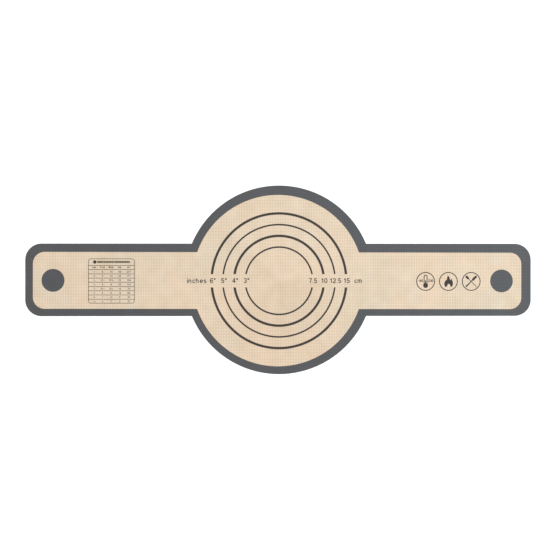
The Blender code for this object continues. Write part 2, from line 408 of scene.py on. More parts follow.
def slab(columns, rows, low, high, top, under):
    """A closed slab on a grid. Column i stands at x = columns[i] and reaches from low[i] to high[i]. Its rows
    are the given lines. At each end the nearest line outside, or one that lies inside by less than a quarter
    of a step, is moved onto the end, and those beyond collapse on it. The same grid lies at height top(x, y)
    and at under(x, y), and a wall joins the two rims."""
    spare = np.diff(rows).min() / 4
    first = np.searchsorted(rows, low + spare) - 1
    last = np.searchsorted(rows, high - spare)
    held = np.clip(np.arange(len(rows)), first[:, None], last[:, None])
    ids = np.arange(len(columns))[:, None] * len(rows) + held
    used, corners = np.unique(ids, return_inverse=True)
    corners = corners.reshape(ids.shape)
    column, row = np.divmod(used, len(rows))
    x = columns[column]
    y = np.select([row == first[column], row == last[column]], [low[column], high[column]], rows[row])
    count = len(used)
    points = np.concatenate([np.stack([x, y, top(x, y)], 1), np.stack([x, y, under(x, y)], 1)])
    a, b, c, d = (part.ravel() for part in (
        corners[:-1, :-1], corners[1:, :-1], corners[1:, 1:], corners[:-1, 1:]))
    skin = [
        np.stack([a, b, c, d], 1)[(a != d) & (b != c)],
        np.stack([a, b, c], 1)[(a == d) & (b != c)],
        np.stack([a, b, d], 1)[(a != d) & (b == c)],
    ]
    rim = np.concatenate([
        corners[np.arange(len(columns)), first],
        corners[-1, first[-1] + 1:last[-1]],
        corners[np.arange(len(columns)), last][::-1],
        corners[0, first[0] + 1:last[0]][::-1],
    ])
    after = np.roll(rim, -1)
    wall = np.stack([rim, rim + count, after + count, after], 1)
    faces = [wall, *skin, *(part[:, ::-1] + count for part in skin)]
    return points, [face for part in faces for face in part.tolist()]


def carried(sections, closed=False):
    """A closed tube: point k of every section is joined to the same point of the next, and the last point of
    a section to its first. Its two ends are capped, or joined where the path is closed."""
    stations, size = sections.shape[:2]
    ids = np.arange(stations * size).reshape(stations, size)
    here, there = (ids, np.roll(ids, -1, 0)) if closed else (ids[:-1], ids[1:])
    quads = np.stack([here, there, np.roll(there, -1, 1), np.roll(here, -1, 1)], -1).reshape(-1, 4)
    caps = [] if closed else [ids[0].tolist(), ids[-1, ::-1].tolist()]
    return sections.reshape(-1, 3), quads.tolist() + caps


def joined(parts):
    """Several sets of points and faces as one."""
    starts = np.cumsum([0, *(len(points) for points, _ in parts)])
    faces = [[i + start for i in face] for start, (_, faces) in zip(starts.tolist(), parts) for face in faces]
    return np.concatenate([points for points, _ in parts]), faces


def film(right, left, sheet, ink, lift=0.0, closed=False, steps=3):
    """Ink between two rails that run side by side: straight across from the right one to the left one, a rise
    above the weave, with its underside sunk in the field."""
    share = np.array([0, *np.linspace(0, 1, steps + 1), 1])
    across = right[:, None] + (left - right)[:, None] * share[:, None]
    height = field_top(across[..., 0], across[..., 1], sheet) + ink.ink_rise + lift
    height[:, [0, -1]] = ink_floor(sheet)
    return carried(np.concatenate([across, height[..., None]], 2), closed)


def line(path, width, sheet, ink, closed=False, lift=0.0, steps=3):
    """A drawn line: a film whose rails lie half its width to each side of a path."""
    if closed:
        along = np.roll(path, -1, 0) - np.roll(path, 1, 0)
    else:
        along = np.concatenate([path[1:], path[-1:]]) - np.concatenate([path[:1], path[:-1]])
    side = np.stack([-along[:, 1], along[:, 0]], 1) / np.linalg.norm(along, axis=1)[:, None] * width / 2
    return film(path - side, path + side, sheet, ink, lift, closed, steps)


def arc(centre, radius, start, end, spacing):
    """Points on a circle from one angle to another, about as far apart as spacing."""
    count = max(4, math.ceil(abs(end - start) * radius / spacing))
    angle = np.linspace(start, end, count + 1)
    return np.stack([centre[0] + radius * np.cos(angle), centre[1] + radius * np.sin(angle)], 1)


def straight(start, end, spacing):
    """Evenly spaced points from one place to another."""
    start, end = np.array(start, float), np.array(end, float)
    count = max(1, math.ceil(np.linalg.norm(end - start) / spacing))
    return start + (end - start) * np.linspace(0, 1, count + 1)[:, None]


def disc(centre, radius, spacing, sheet, ink, lift=0.0):
    """A printed disc: a ring whose line leaves no hole to be seen."""
    path = arc(centre, radius / 2, 0, math.tau, spacing)[:-1]
    return line(path, radius * FILLED, sheet, ink, closed=True, lift=lift)


def round_rectangle(centre, half_size, radius, spacing):
    """A closed, counter-clockwise path with round corners, from the middle of its right corner on."""
    path = []
    for turn, (sign_x, sign_y) in enumerate(((1, 1), (-1, 1), (-1, -1), (1, -1))):
        corner = (centre[0] + sign_x * (half_size[0] - radius), centre[1] + sign_y * (half_size[1] - radius))
        bend = arc(corner, radius, turn * math.pi / 2, (turn + 1) * math.pi / 2, spacing)
        path += [straight(path[-1][-1], bend[0], spacing)[1:-1], bend] if path else [bend]
    path.append(straight(path[-1][-1], path[0][0], spacing)[1:-1])
    return np.concatenate(path)


def bow(x, y, wide, tall, start, end):
    """Points on an ellipse about (x, y), from one angle in degrees to another."""
    turn = np.radians(np.linspace(start, end, BOW_POINTS))
    return np.stack([x + wide * np.cos(turn), y + tall * np.sin(turn)], 1)


def stroke(*corners):
    """Points along a stroke from corner to corner, equally many to each stretch."""
    stretches = [np.linspace(a, b, STROKE_POINTS, endpoint=False) for a, b in zip(corners, corners[1:])]
    return np.concatenate([*stretches, corners[-1:]])


def lettering(labels, sheet, ink, thickness=STROKE):
    """Printed labels, each centred on its place. A letter's strokes are lines on the weave."""
    films = []
    for label in labels:
        room = [GLYPHS[letter][0] * label.spacing for letter in label.text]
        x = label.x - sum(room) * label.height / 2
        for letter, step in zip(label.text, room):
            for order, drawn in enumerate(GLYPHS[letter][1:]):
                path = (x, label.y - label.height / 2) + drawn * label.height
                closed = np.allclose(path[0], path[-1])
                films.append(line(
                    path[:-1] if closed else path, label.height * thickness, sheet, ink,
                    closed=closed, lift=LAYER * order, steps=1))
            x += step * label.height
    return joined(films)


# Letters at a digit height of 1: the room that each takes, and then the middle lines of its strokes
ARCH = np.concatenate([
    stroke((0.08, 0), (0.08, 0.72)), bow(0.3, 0.45, 0.22, 0.215, 180, 0), stroke((0.52, 0.4), (0.52, 0))])
GLYPHS = {
    " ": (0.39,),
    ".": (0.39, stroke((0.17, 0), (0.17, 0.13))),
    "-": (0.5, stroke((0.06, 0.42), (0.4, 0.42))),
    "/": (0.39, stroke((0.04, 0), (0.32, 1))),
    '"': (0.5, stroke((0.12, 1), (0.12, 0.68)), stroke((0.29, 1), (0.29, 0.68))),
    "0": (0.78, bow(0.38, 0.5, 0.265, 0.435, 0, 360)),
    "1": (0.72, stroke((0.42, 1), (0.42, 0)), stroke((0.17, 0.72), (0.3, 0.79), (0.42, 0.93))),
    "2": (0.78, np.concatenate([bow(0.37, 0.69, 0.25, 0.245, 170, -30), stroke((0.1, 0.1))]),
          stroke((0.06, 0.065), (0.68, 0.065))),
    "3": (0.78, bow(0.36, 0.715, 0.225, 0.22, 155, -90), bow(0.36, 0.28, 0.26, 0.215, 90, -160)),
    "4": (0.78, stroke((0.5, 1), (0.5, 0)), stroke((0.47, 0.95), (0.08, 0.31)),
          stroke((0.05, 0.3), (0.7, 0.3))),
    "5": (0.78, stroke((0.62, 0.935), (0.2, 0.935)), stroke((0.2, 0.96), (0.13, 0.48)),
          bow(0.37, 0.33, 0.26, 0.265, 140, -160)),
    "6": (0.78, bow(0.39, 0.32, 0.26, 0.255, 0, 360), bow(0.46, 0.45, 0.345, 0.485, 195, 50)),
    "7": (0.78, stroke((0.08, 0.935), (0.68, 0.935)), stroke((0.65, 0.92), (0.43, 0.55), (0.32, 0))),
    "8": (0.78, bow(0.39, 0.72, 0.215, 0.215, 0, 360), bow(0.39, 0.285, 0.26, 0.22, 0, 360)),
    "9": (0.78, bow(0.37, 0.68, 0.26, 0.255, 0, 360), bow(0.3, 0.55, 0.345, 0.485, 15, -130)),
    "b": (0.78, stroke((0.1, 1), (0.1, 0)), bow(0.35, 0.36, 0.25, 0.3, 0, 360)),
    "c": (0.7, bow(0.36, 0.36, 0.26, 0.3, 45, 315)),
    "e": (0.78, bow(0.38, 0.36, 0.27, 0.3, 0, 315), stroke((0.12, 0.37), (0.64, 0.37))),
    "f": (0.42, np.concatenate([bow(0.33, 0.8, 0.17, 0.15, 70, 180), stroke((0.16, 0.7), (0.16, 0))]),
          stroke((0.03, 0.66), (0.37, 0.66))),
    "h": (0.78, stroke((0.1, 1), (0.1, 0)), ARCH + (0.02, 0)),
    "i": (0.36, stroke((0.155, 0), (0.155, 0.72)), stroke((0.155, 0.87), (0.155, 1))),
    "l": (0.31, stroke((0.155, 0), (0.155, 1))),
    "m": (1.16, ARCH * (0.82, 1) + (0.03, 0), ARCH * (0.82, 1) + (0.39, 0)),
    "n": (0.78, ARCH + (0.02, 0)),
    "o": (0.78, bow(0.38, 0.36, 0.27, 0.3, 0, 360)),
    "p": (0.78, stroke((0.1, 0.72), (0.1, -0.28)), bow(0.35, 0.36, 0.25, 0.3, 0, 360)),
    "s": (0.7, np.concatenate([bow(0.34, 0.51, 0.2, 0.15, 30, 270), bow(0.34, 0.21, 0.22, 0.15, 90, -150)])),
    "t": (0.39, stroke((0.18, 0.95), (0.18, 0.16), (0.34, 0.065)), stroke((0.03, 0.66), (0.35, 0.66))),
    "u": (0.78, (0.68, 0.72) - ARCH),
    "z": (0.7, stroke((0.08, 0.655), (0.58, 0.655)), stroke((0.55, 0.62), (0.11, 0.1)),
          stroke((0.06, 0.065), (0.6, 0.065))),
}


def mixed_number(value, x, y, height):
    """Labels of a number such as 5 1/3, centred on its place. Its fraction is small, with the top number
    raised and the bottom one on the line."""
    whole, rest = divmod(value, 1)
    small = height * FRACTION_DIGIT
    rise = (height - small) / 2
    parts = [(str(whole), height, 0)] if whole else []
    if rest:
        parts += [
            (str(rest.numerator), small, rise), ("/", height * FRACTION_BAR, 0),
            (str(rest.denominator), small, -rise)]
    rooms = [sum(GLYPHS[letter][0] for letter in text) * size for text, size, _ in parts]
    middles = x - sum(rooms) / 2 + np.cumsum(rooms) - np.array(rooms) / 2
    return [Label(text, middle, y + lift, size, 1) for (text, size, lift), middle in zip(parts, middles)]


# The sheet's outline

def cut_outline(sheet):
    """The edge of the sheet, where the border's silicone ends."""
    return Outline(BED_RADIUS, HANDLE_HALF, HANDLE_END, sheet.corner)


def field_outline(sheet):
    """The edge of the field as far as it shows, where the border's lip ends."""
    return Outline(FIELD_RADIUS, FIELD_HALF, FIELD_END, sheet.field_corner)


def tucked_outline(sheet):
    """The outline of the whole field, with what lies hidden under the border."""
    return Outline(*(size + sheet.tuck for size in field_outline(sheet)))


def half_width(x, outline):
    """Half the width at x: the wider of a disc and of a handle with round corners at its end."""
    disc_half = np.sqrt(np.clip(outline.radius ** 2 - x ** 2, 0, None))
    past = np.clip(np.abs(x) - (outline.end - outline.corner), 0, outline.corner)
    handle_half = outline.half - outline.corner + np.sqrt(outline.corner ** 2 - past ** 2)
    return np.maximum(disc_half, handle_half)


def turned(run, sign_x, sign_y):
    """A run of an outline carried to another quarter of the sheet, and still counter-clockwise."""
    moved = run * (sign_x, sign_y)
    return moved if sign_x * sign_y > 0 else moved[::-1]


def column_step(sheet):
    """Distance along the sheet between two columns of the mesh."""
    return sheet.warp_pitch / SAMPLES


def rows_across(sheet):
    """Places along y of the mesh's rows, on one grid for every piece."""
    step = sheet.weft_pitch / SAMPLES
    count = math.ceil(BED_RADIUS / step)
    return np.arange(-count, count + 1) * step


def stations(start, end, sheet):
    """Places along x of the mesh's columns between two ends, which are columns too. The others lie on one
    grid for every piece. None is closer to an end than a quarter of a step."""
    step = column_step(sheet)
    inner = np.arange(math.ceil(start / step + 0.25), math.floor(end / step - 0.25) + 1)
    return np.array([start, *(inner * step), end])


def bed_seam(sheet):
    """The yarn just outside the bed's inner corners."""
    inner_corner = math.sqrt(BED_RADIUS ** 2 - HANDLE_HALF ** 2)
    return math.ceil(inner_corner / sheet.warp_pitch) * sheet.warp_pitch


def rim_seam(sheet):
    """The last yarn before the bend of a rim fold."""
    return math.floor((RIM_FOLD - sheet.fold_before) / sheet.warp_pitch) * sheet.warp_pitch


def past_rim(sheet):
    """A place past a rim fold where the sheet is straight again."""
    return RIM_FOLD + sheet.fold_after * 2


def along_side(outline, near, far, sheet):
    """The rear straight of a handle, from its far end back to its near end."""
    x = stations(near, far, sheet)[::-1]
    return np.stack([x, np.full_like(x, outline.half)], 1)


def bed_runs(outline, panel, sheet):
    """Rear and front of the bed: a short straight, the disc between two sharp corners, and a straight."""
    corner = math.asin(outline.half / outline.radius)
    count = round(BED_RADIUS * math.pi * DISC_SHARE / column_step(sheet))
    angle = np.linspace(corner, math.pi - corner, count)
    round_edge = outline.radius * np.stack([np.cos(angle), np.sin(angle)], 1)
    lead = np.linspace((panel.far, outline.half), round_edge[0], SAMPLES * 2, endpoint=False)
    rear = np.concatenate([lead, round_edge, lead[::-1] * (-1, 1)])
    return [rear, turned(rear, 1, -1)]


def riser_runs(outline, panel, sheet):
    """Rear and front of a handle between two seams."""
    rear = along_side(outline, panel.near, panel.far, sheet)
    return [turned(rear, panel.side, 1), turned(rear, panel.side, -1)]


def grip_runs(outline, panel, sheet):
    """Right round the end of a handle, with two round corners."""
    steps = round(HANDLE_HALF / column_step(sheet))
    past = past_rim(sheet)
    centre = np.array((outline.end - outline.corner, outline.half - outline.corner))
    angle = np.linspace(0, math.pi / 2, steps)
    bend = centre + outline.corner * np.stack([np.cos(angle), np.sin(angle)], 1)
    end = np.linspace((outline.end, 0), bend[0], steps // 2, endpoint=False)
    count = round((HANDLE_END - past) / column_step(sheet))
    back = np.linspace(bend[-1], (past, outline.half), count)[1:-1]
    rear = np.concatenate([end, bend, back, along_side(outline, panel.near, past, sheet)])
    front = turned(rear, 1, -1)[:-1]
    return [turned(np.concatenate([front, rear]), panel.side, 1)]


def panels(sheet):
    """The five panels. They meet on yarns, just outside the bed's inner corners and before the rim folds."""
    bed = bed_seam(sheet)
    rim = rim_seam(sheet)
    end = FIELD_END + sheet.tuck
    return [
        Panel("bed", None, 1, 0, bed, None, bed_runs),
        Panel("left_riser", "bed", -1, bed, rim, LIFT_FOLD, riser_runs),
        Panel("right_riser", "bed", 1, bed, rim, LIFT_FOLD, riser_runs),
        Panel("left_grip", "left_riser", -1, rim, end, RIM_FOLD, grip_runs),
        Panel("right_grip", "right_riser", 1, rim, end, RIM_FOLD, grip_runs),
    ]


def panel_ends(panel):
    """Where a panel starts and ends along x."""
    if panel.fold is None:
        return -panel.far, panel.far
    return sorted((panel.side * panel.near, panel.side * panel.far))


def border_sections(cut, lip, sheet):
    """Sections of the border along a run of the cut edge. Each goes from inside the field out along the
    underside, round the edge on half an ellipse, and back along the printed face to the lip over the field.
    Both faces are level in the sealed margin, and the weave's relief eases in past it."""
    across = lip - cut
    width = np.linalg.norm(across, axis=1)[:, None]
    inward = across / width
    turn = np.linspace(-math.pi / 2, math.pi / 2, RIM_STEPS + 1)
    rounded = np.broadcast_to(sheet.edge_round * (1 - np.cos(turn)), (len(cut), RIM_STEPS + 1))
    share = np.linspace(0, 1, BORDER_STEPS + 1)[1:]
    level = sheet.edge_round + (width - sheet.edge_round) * share
    depth = np.concatenate([width, level[:, ::-1], rounded, level, width], 1)
    place = cut[:, None] + inward[:, None] * depth[..., None]
    fade = smooth_step((depth - sheet.sealed_margin) / sheet.sealed_margin)
    drop = sink(place[..., 0], place[..., 1], sheet) * fade
    height = np.concatenate([
        np.full_like(width, THICKNESS / 3),
        drop[:, 1:BORDER_STEPS + 1],
        np.broadcast_to(THICKNESS / 2 * (1 + np.sin(turn)), rounded.shape),
        THICKNESS - drop[:, -BORDER_STEPS - 1:-1],
        np.full_like(width, THICKNESS * 2 / 3),
    ], 1)
    return np.concatenate([place, height[..., None]], 2)


# Finishes

MIX_FACTOR, MIX_A, MIX_B, MIX_RESULT = 0, 6, 7, 2  # the sockets of a Mix node that mixes colours


def add_node(tree, kind, inputs=(), **options):
    """Adds a node, sets its options, and gives each named input a value or another node's output."""
    node = tree.nodes.new(f"ShaderNode{kind}")
    for option, value in options.items():
        setattr(node, option, value)
    for socket, value in dict(inputs).items():
        if isinstance(value, bpy.types.NodeSocket):
            tree.links.new(value, node.inputs[socket])
        else:
            node.inputs[socket].default_value = value
    return node


def maths(tree, operation, *values):
    """The outcome of one step of arithmetic."""
    return add_node(tree, "Math", enumerate(values), operation=operation).outputs[0]


def noise(tree, place, scale, detail):
    """Soft noise around 0.5, with about as many features to a metre as scale, and finer levels of detail."""
    return add_node(tree, "TexNoise", {"Vector": place, "Scale": scale, "Detail": detail}).outputs["Fac"]


def between(tree, share, low, high):
    """A number that goes from low to high as the share goes from 0 to 1."""
    return add_node(tree, "MapRange", {"Value": share, "To Min": low, "To Max": high}).outputs["Result"]


def tinted(tree, colour, share, tint, strength):
    """A colour multiplied by a tint, by as much as the share times the strength."""
    amount = maths(tree, "MULTIPLY", share, strength)
    inputs = {MIX_FACTOR: amount, MIX_A: colour, MIX_B: (*tint, 1)}
    return add_node(tree, "Mix", inputs, data_type="RGBA", blend_type="MULTIPLY").outputs[MIX_RESULT]


def raised_cosine(tree, distance, pitch):
    """0 on a yarn and 1 midway between two."""
    wave = maths(tree, "COSINE", maths(tree, "MULTIPLY", distance, math.tau / pitch))
    return maths(tree, "MULTIPLY_ADD", wave, -0.5, 0.5)


def furrows(tree, x, y, sheet):
    """How deep in the furrows of the weave a place lies: 0 on the yarns, and 1 where two furrows cross."""
    across_warp = maths(tree, "MULTIPLY", raised_cosine(tree, x, sheet.warp_pitch), WARP_SHARE)
    across_weft = maths(tree, "MULTIPLY", raised_cosine(tree, y, sheet.weft_pitch), 1 - WARP_SHARE)
    return maths(tree, "ADD", across_warp, across_weft)


def browned(tree, place):
    """1 in the middle of the warmer, darker patch of the bed, easing to 0 at its reach."""
    distance = add_node(tree, "VectorMath", {0: place, 1: WARM_PATCH_PLACE}, operation="DISTANCE")
    inputs = {"Value": distance.outputs["Value"], "From Max": WARM_PATCH_REACH, "To Min": 1, "To Max": 0}
    return add_node(tree, "MapRange", inputs, interpolation_type="SMOOTHSTEP").outputs["Result"]


def cloth_axes(tree):
    """The place on the flat cut, with the slight wander of real yarns, and its two axes apart."""
    place = add_node(tree, "Attribute", attribute_name=CUT_PLACE).outputs["Vector"]
    drift = add_node(tree, "TexNoise", {"Vector": place, "Scale": WANDER_SCALE, "Detail": 1}).outputs["Color"]
    centred = add_node(tree, "VectorMath", {0: drift, 1: (0.5, 0.5, 0.5)}, operation="SUBTRACT").outputs[0]
    scaled = add_node(tree, "VectorMath", {0: centred, "Scale": YARN_WANDER}, operation="SCALE").outputs[0]
    moved = add_node(tree, "VectorMath", {0: place, 1: scaled}, operation="ADD").outputs[0]
    axes = add_node(tree, "SeparateXYZ", {0: moved})
    return place, axes.outputs["X"], axes.outputs["Y"]


def new_material(name):
    """A new material and its nodes."""
    material = bpy.data.materials.new(name)
    material.use_nodes = True
    return material, material.node_tree


def set_surface(tree, base, rough):
    """Gives the shader its colour and its roughness."""
    shader = tree.nodes["Principled BSDF"]
    tree.links.new(base, shader.inputs["Base Color"])
    tree.links.new(rough, shader.inputs["Roughness"])
    return shader


def set_skin(tree, base, rough, relief, depth):
    """Gives the shader the colour, roughness and fine relief of a film of silicone."""
    shader = set_surface(tree, base, rough)
    bump = add_node(tree, "Bump", {"Strength": BUMP_STRENGTH, "Distance": depth, "Height": relief})
    tree.links.new(bump.outputs[0], shader.inputs["Normal"])
    shader.inputs["IOR"].default_value = SILICONE_IOR


def silicone(name, colour, shade, sheet):
    """Satin silicone over glass cloth: darker in the furrows of the weave, partly where the glass yarns show
    through and partly as painted shade of the weave's relief, mottled warm and cool over the sheet, with fine
    threads and a pebbled skin in its relief."""
    material, tree = new_material(name)
    place, x, y = cloth_axes(tree)
    deep = furrows(tree, x, y, sheet)
    threads = maths(
        tree, "MULTIPLY", raised_cosine(tree, x, sheet.warp_pitch / THREADS),
        raised_cosine(tree, y, sheet.weft_pitch / THREADS))
    pebbles = noise(tree, place, PEBBLE_SCALE, 2)
    uneven = between(
        tree, noise(tree, place, SHADE_SCALE, 2), shade * (1 - SHADE_SPREAD), shade * (1 + SHADE_SPREAD))
    # darkens the furrows: partly the yarns showing through, partly painted shade of the weave's relief
    base = tinted(tree, (*colour, 1), deep, FURROW_SHADE_TINT, uneven)
    base = tinted(tree, base, threads, THREAD_TINT, shade * THREAD_SHADE)
    # makes a patch about the lower middle of the bed a little warmer and darker
    base = tinted(tree, base, browned(tree, place), WARM_PATCH_TINT, 1)
    for scale, detail, tint in MOTTLES:
        base = tinted(tree, base, noise(tree, place, scale, detail), tint, MOTTLE)
    rough = maths(
        tree, "ADD", between(tree, pebbles, ROUGHNESS - ROUGHNESS_SPREAD, ROUGHNESS + ROUGHNESS_SPREAD),
        maths(tree, "MULTIPLY", deep, FURROW_ROUGHNESS))
    relief = maths(tree, "ADD", maths(tree, "MULTIPLY", threads, -THREAD_RELIEF), pebbles)
    set_skin(tree, base, rough, relief, PEBBLE_DEPTH)
    return material


def printing_ink(name, colour, sheet):
    """Matt ink, lighter on the yarns, where it is a little worn, and darker in the furrows, partly as painted
    shade of the weave's relief, and speckled where it dried unevenly.
    """
    material, tree = new_material(name)
    place, x, y = cloth_axes(tree)
    specks = noise(tree, place, SPECK_SCALE, 3)
    fresh = (*(value * FRESH_INK for value in colour), 1)
    # darkens the ink in the furrows: partly wear on the yarns, partly painted shade of the weave's relief
    base = tinted(tree, fresh, furrows(tree, x, y, sheet), INK_WEAR_AND_SHADE_TINT, INK_MOTTLE)
    base = tinted(tree, base, specks, SPECK_TINT, INK_MOTTLE)
    set_skin(tree, base, between(tree, specks, *INK_ROUGHNESS), specks, SPECK_DEPTH)
    return material


def finish_named(slot, sheet, ink):
    """The material of one of the record's slots, made when it is first asked for."""
    name = f"dressed_{slot}"
    made = bpy.data.materials.get(name)
    if made:
        return made
    if slot == "dark_ink":
        return printing_ink(name, ink.ink, sheet)
    colour = {"beige_silicone": sheet.beige, "grey_silicone": sheet.grey}[slot]
    return silicone(name, colour, SHADES[slot], sheet)


# Pieces

def settings(context):
    """The sizes and colours of the sheet, and those of the prints."""
    return context.scene.sling_sheet, context.scene.sling_print


def make_piece(name, shape, slot, context):
    """A finished mesh at the origin, with its place on the flat cut kept on its points for the patterns."""
    points, faces = shape
    mesh = bpy.data.meshes.new(name)
    mesh.from_pydata(points.tolist(), [], faces)
    place = mesh.attributes.new(CUT_PLACE, "FLOAT_VECTOR", "POINT")
    place.data.foreach_set("vector", points.astype(np.float32).ravel())
    mesh.shade_smooth()
    mesh.set_sharp_from_angle(angle=SHARP_ANGLE)
    mesh.materials.append(finish_named(slot, *settings(context)))
    piece = bpy.data.objects.new(name, mesh)
    context.scene.collection.objects.link(piece)
    return piece


def make_print(name, films, body, context):
    """A piece of films of ink, printed on one body."""
    piece = make_piece(name, joined(films), "dark_ink", context)
    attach(piece, body)
    return piece


def nodes_of(body, *words):
    """The body's CAD nodes whose names hold one of these words."""
    nodes = frame["record"]["behaviour"]["bodies"][body]
    return [node for node in nodes if any(word in node for word in words)]


def middle_of(node):
    """The middle of a node, seen from above."""
    return np.add(*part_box(node))[:2] / 2


def half_of(node):
    """Half a node's size, seen from above."""
    low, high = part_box(node)
    return np.subtract(high, low)[:2] / 2


def set_on_panel(piece, panel):
    """The bed's pieces ride on it. The others keep their place, with their transform baked into their points.
    """
    if panel.fold is None:
        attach(piece, panel.body)
        return
    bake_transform(piece)


def loaf_inches(node):
    """The inches that a ring of the scale stands for, from the width of its node."""
    return round(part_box(node)[1].x * 2 / RING_INCH)


def printed(path, sheet):
    """A path of the field or of a dot, turned and shifted against the cut as the print of the sheet is. On
    the straight between the seams of the bed and the ends of the rim folds its points keep their x, as they
    do on the cut."""
    cos, sin = math.cos(sheet.field_turn), math.sin(sheet.field_turn)
    moved = path @ np.array([(cos, sin), (-sin, cos)]) + np.array(sheet.field_shift)
    reach = np.abs(path[..., 0])
    on_bed = smooth_step((bed_seam(sheet) - reach) / SHIFT_EASE)
    past_fold = smooth_step((reach - past_rim(sheet)) / SHIFT_EASE)
    moved[..., 0] = path[..., 0] + (moved[..., 0] - path[..., 0]) * (on_bed + past_fold)
    return moved


class SLING_OT_border(bpy.types.Operator):
    """Carries the grey border round the cut edge, over both faces"""

    bl_idname = "sling.border"
    bl_label = "Make Border"

    def execute(self, context):
        sheet, _ = settings(context)
        for panel in panels(sheet):
            cuts = panel.runs(cut_outline(sheet), panel, sheet)
            lips = panel.runs(field_outline(sheet), panel, sheet)
            tubes = [
                carried(border_sections(cut, printed(lip, sheet), sheet)) for cut, lip in zip(cuts, lips)]
            piece = make_piece(f"{panel.body}_border", joined(tubes), "grey_silicone", context)
            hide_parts(*nodes_of(panel.body, "edge"))
            set_on_panel(piece, panel)
        return {"FINISHED"}


class SLING_OT_thumb_dots(bpy.types.Operator):
    """Lays a grey disc near the end of each handle"""

    bl_idname = "sling.thumb_dots"
    bl_label = "Make Thumb Dots"

    def execute(self, context):
        sheet, _ = settings(context)
        for body in ("left_grip", "right_grip"):
            (node,) = nodes_of(body, "thumb_dot")
            middle = printed(middle_of(node), sheet)
            radius = half_of(node)[0]
            angle = (np.arange(DOT_COLUMNS) + 0.5) * math.pi / DOT_COLUMNS
            reach = radius * np.sin(angle)
            shape = slab(
                middle[0] - radius * np.cos(angle), rows_across(sheet), middle[1] - reach, middle[1] + reach,
                lambda x, y: THICKNESS - sink(x, y, sheet), lambda x, y: np.full_like(x, ink_floor(sheet)))
            piece = make_piece(f"{body}_dot", shape, "grey_silicone", context)
            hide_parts(node)
            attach(piece, body)
        return {"FINISHED"}


class SLING_OT_rings(bpy.types.Operator):
    """Prints the rings of the scale, each in two halves that leave room for its numbers"""

    bl_idname = "sling.rings"
    bl_label = "Print Rings"

    def execute(self, context):
        sheet, ink = settings(context)
        halves = []
        nodes = nodes_of("bed", "ring_")
        for node in nodes:
            low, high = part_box(node)
            inches = loaf_inches(node)
            radius = inches * RING_INCH / 2
            width = ink.fine_line if inches % 2 else ink.bold_line
            gap = min(abs(low.y), abs(high.y))
            sign = 1 if high.y > 0 else -1
            rails = [
                turned(self.rail(rim, gap, sheet), sign, sign) + np.array(ink.ring_shift)
                for rim in (radius + width / 2, radius - width / 2)]
            halves.append(film(*rails, sheet, ink))
        piece = make_print("scale_rings", halves, "bed", context)
        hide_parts(*nodes)
        return {"FINISHED"}

    @staticmethod
    def rail(radius, gap, sheet):
        """Rear half of a circle, from where it clears the gap on the right to where it does on the left."""
        rise = math.asin(gap / radius)
        angle = np.linspace(rise, math.pi - rise, round(BED_RADIUS * math.pi / column_step(sheet)))
        return radius * np.stack([np.cos(angle), np.sin(angle)], 1)


class SLING_OT_scale_numbers(bpy.types.Operator):
    """Prints the ring scale's numbers: centimetres on the right, inches on the left"""

    bl_idname = "sling.scale_numbers"
    bl_label = "Print Scale Numbers"

    def execute(self, context):
        sheet, ink = settings(context)
        marks = []  # text, place along x, and spacing
        loaves = sorted({loaf_inches(node) for node in nodes_of("bed", "ring_")})
        for inches in loaves:
            radius = inches * RING_INCH / 2
            marks.append((f"{radius * 2 / CENTIMETRE:g}", radius + NUMBER_OFFSET, NUMBER_SPACING))
            marks.append((str(inches), -radius - NUMBER_OFFSET, 1))
            marks.append(('"', -radius + INCH_MARK_OFFSET, INCH_MARK_SPACING))
        largest = loaves[-1] * RING_INCH / 2
        marks.append(("cm", largest + CM_OFFSET, 1))
        marks.append(("inches", -largest - INCHES_OFFSET, INCHES_SPACING))
        labels = [Label(text, x, NUMBER_LINE, ink.digit_height, spacing) for text, x, spacing in marks]
        make_print("scale_numbers", [lettering(labels, sheet, ink)], "bed", context)
        return {"FINISHED"}


